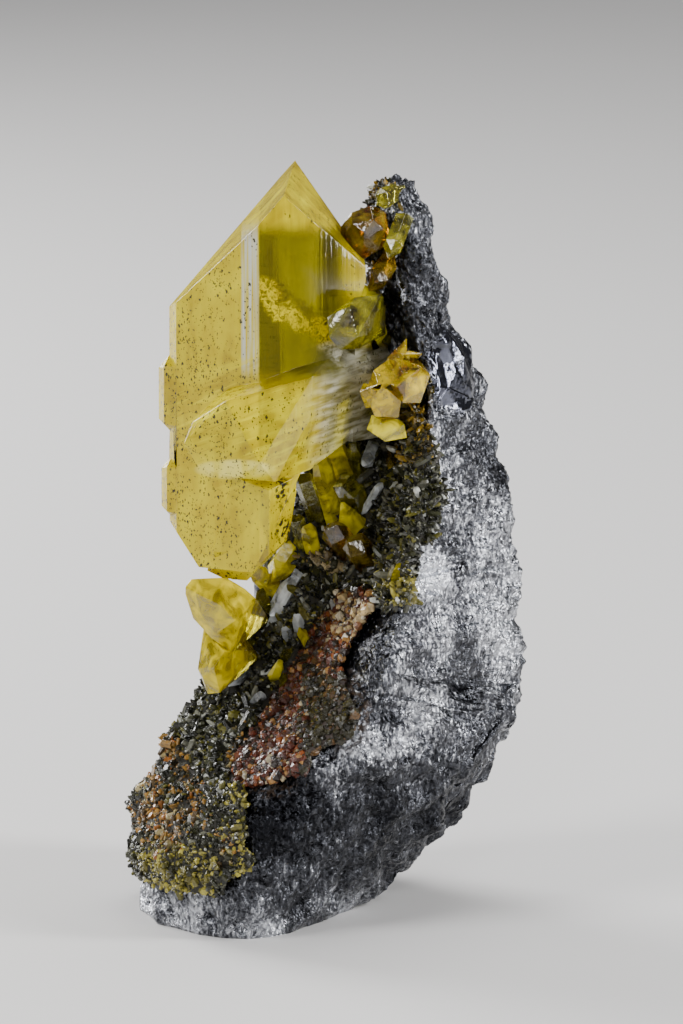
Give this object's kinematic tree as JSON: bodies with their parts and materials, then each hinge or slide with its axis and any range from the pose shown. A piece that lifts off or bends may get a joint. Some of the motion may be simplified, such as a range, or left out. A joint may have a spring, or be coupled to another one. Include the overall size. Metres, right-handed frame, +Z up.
{
  "type": "yellow anglesite crystals on galena matrix",
  "caption": "Crescent of lead-grey galena with a dark crystal-lined hollow, carrying a large clear yellow prismatic crystal; stands upright on a flat sawn foot.",
  "frame": {"origin": "middle of the bounding box at the level of the flat foot", "axes": "+Z up along the height of the standing specimen, -Y towards the viewer who sees the crystals, +X to that viewer's right, the side of the galena"},
  "size_m": [0.0476, 0.042, 0.0918],
  "materials": {
    "galena": "metallic lead-grey broken cleavage, sparkling",
    "druse": "crust of minute dark glassy crystals",
    "rusty_grains": "red-brown and tan glassy grains",
    "yellow_crystal": "polished, clear yellow",
    "olive_crystal": "polished, clear olive",
    "amber_crystal": "polished, clear amber",
    "grey_crystal": "polished, nearly colourless"
  },
  "bodies": {
    "root": {"amber_crystal": "amber_crystal", "amber_prism": "amber_crystal", "bead_crystal": "yellow_crystal", "block_bead": "olive_crystal", "block_crystal": "olive_crystal", "bright_chip": "grey_crystal", "brown_crystal": "amber_crystal", "crown_crystal": "yellow_crystal", "druse_crust": "druse", "first_chip": "grey_crystal", "galena_matrix": "galena", "green_plate": "yellow_crystal", "grey_bar": "grey_crystal", "grey_prism": "grey_crystal", "knot_splinter": "yellow_crystal", "lilac_prism": "grey_crystal", "low_chip": "olive_crystal", "low_knot": "yellow_crystal", "lower_crystals": "yellow_crystal", "main_crystal": "yellow_crystal", "olive_bead": "olive_crystal", "olive_blade": "olive_crystal", "olive_chip": "olive_crystal", "olive_prism": "olive_crystal", "orange_crystal": "amber_crystal", "pale_blade": "yellow_crystal", "pale_plate": "yellow_crystal", "rim_chip": "yellow_crystal", "round_crystal": "olive_crystal", "rust_seam": "rusty_grains", "second_chip": "grey_crystal", "shaded_prism": "olive_crystal", "side_crystal": "olive_crystal", "side_prism": "olive_crystal", "summit_crystal": "olive_crystal", "tall_prism": "yellow_crystal", "third_chip": "grey_crystal", "under_crystal": "amber_crystal", "wedge_plate": "yellow_crystal", "white_blade": "grey_crystal", "white_prism": "grey_crystal", "yellow_knot": "yellow_crystal"}
  },
  "joints": []
}
